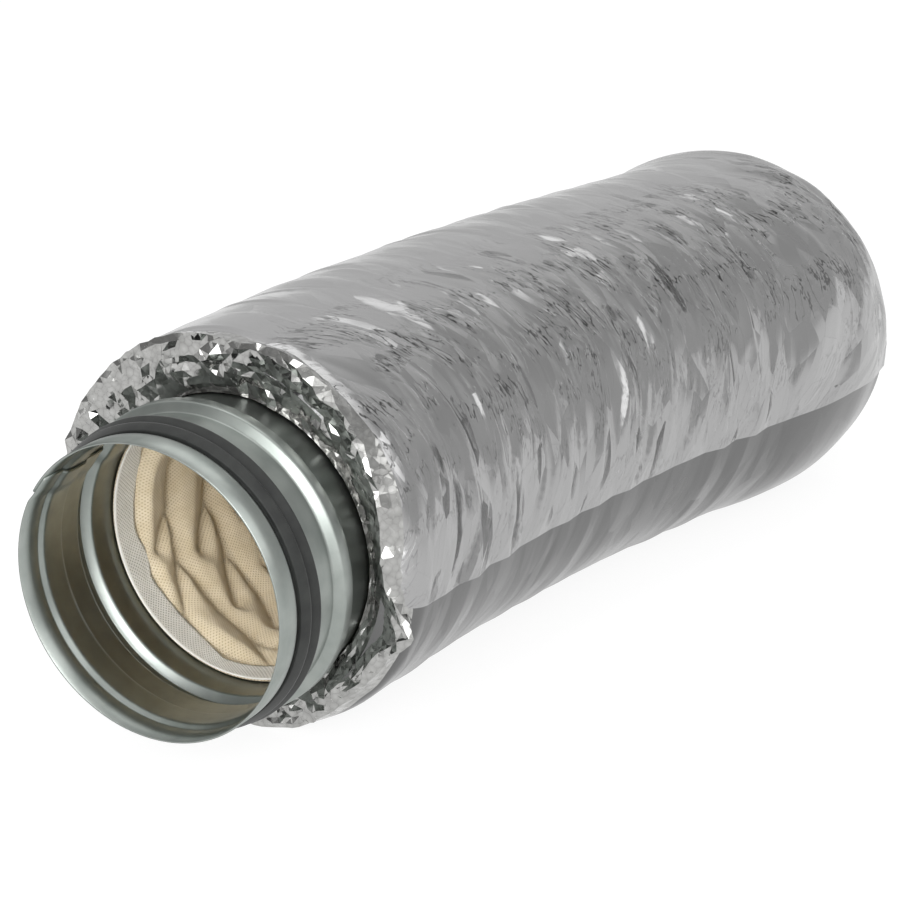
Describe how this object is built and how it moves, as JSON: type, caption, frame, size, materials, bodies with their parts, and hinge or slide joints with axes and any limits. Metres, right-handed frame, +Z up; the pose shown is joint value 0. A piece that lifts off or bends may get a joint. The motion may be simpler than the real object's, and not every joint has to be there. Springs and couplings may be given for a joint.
{
  "type": "duct sound attenuator",
  "caption": "Flexible round duct sound attenuator: foil-jacketed wool around a pleated fabric liner, bent gently, with a beaded steel spigot and lip seal at each end.",
  "frame": {"origin": "middle of the body's footprint, on the surface that it lies on", "axes": "+X runs from the front spigot to the rear spigot along the body, +Z is up, and the body bows towards +Y"},
  "size_m": [0.5242, 0.1857, 0.169],
  "materials": {
    "galvanised_steel": "rolled hot-dip galvanised sheet, semi-bright",
    "seal_rubber": "moulded EPDM rubber, matt charcoal",
    "white_nonwoven": "point-bonded white nonwoven",
    "liner_nonwoven": "point-bonded cream nonwoven over wool",
    "spring_wire": "drawn spring wire",
    "mineral_wool": "resin-bonded mineral wool",
    "jacket_foil": "aluminium laminate, dull side out, creased",
    "closing_foil": "bright aluminium foil, crumpled"
  },
  "bodies": {
    "root": {"front_spigot": "galvanised_steel", "front_seal": "seal_rubber", "front_liner_cuff": "white_nonwoven", "front_end_foil": "closing_foil", "inner_liner": "liner_nonwoven", "liner_wire": "spring_wire", "wool_blanket": "mineral_wool", "foil_jacket": "jacket_foil", "rear_end_foil": "closing_foil", "rear_liner_cuff": "white_nonwoven", "rear_seal": "seal_rubber", "rear_spigot": "galvanised_steel"}
  },
  "joints": []
}
